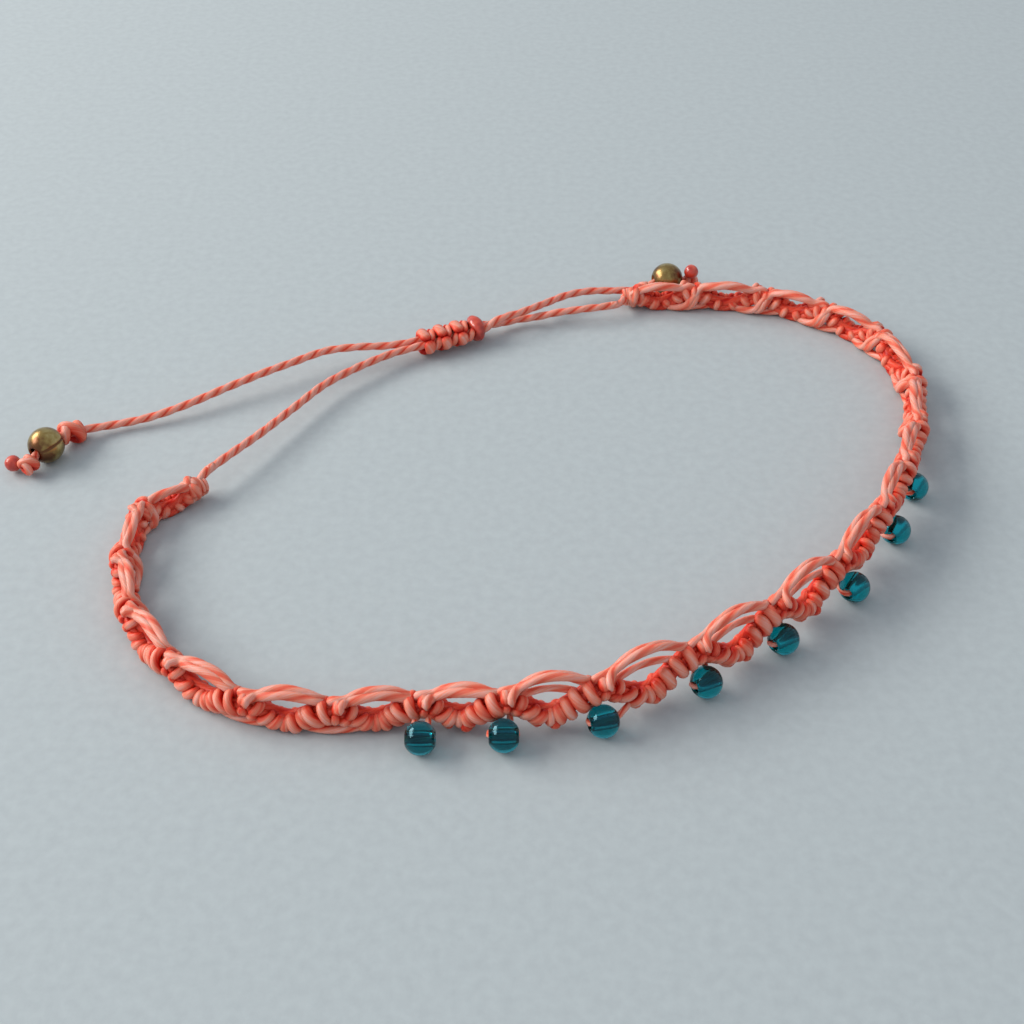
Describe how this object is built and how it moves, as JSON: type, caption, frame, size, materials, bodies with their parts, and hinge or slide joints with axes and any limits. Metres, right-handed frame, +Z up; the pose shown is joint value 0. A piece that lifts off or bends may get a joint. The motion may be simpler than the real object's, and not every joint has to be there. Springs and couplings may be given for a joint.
{
  "type": "anklet",
  "caption": "Macrame cord anklet: an open-work wave band with hanging glass beads, closed by pull cords through a sliding knot, with a bronze bead on each free end.",
  "frame": {"origin": "on the surface that the anklet lies on, under the middle of the box of the band and its glass beads", "axes": "+Z up; +X from the band's left end towards its right side; +Y from the beaded front towards the sliding knot"},
  "size_m": [0.104, 0.081, 0.0072],
  "materials": {
    "coral_cord": "twisted waxed polyester cord, satin",
    "melted_cord": "melted polyester, smooth and shiny",
    "teal_glass": "clear teal glass, polished",
    "antique_bronze": "antique bronze plating, worn satin"
  },
  "bodies": {
    "root": {"macrame_band": "coral_cord", "glass_bead_1": "teal_glass", "glass_bead_2": "teal_glass", "glass_bead_3": "teal_glass", "glass_bead_4": "teal_glass", "glass_bead_5": "teal_glass", "glass_bead_6": "teal_glass", "glass_bead_7": "teal_glass", "glass_bead_8": "teal_glass", "left_pull_cord": "coral_cord", "right_pull_cord": "coral_cord", "slider_knot": "coral_cord", "slider_melted_end": "melted_cord", "left_bead_knot": "coral_cord", "left_bronze_bead": "antique_bronze", "left_end_knot": "coral_cord", "left_melted_end": "melted_cord", "rear_bead_knot": "coral_cord", "rear_bronze_bead": "antique_bronze", "rear_end_knot": "coral_cord", "rear_melted_end": "melted_cord"}
  },
  "joints": []
}
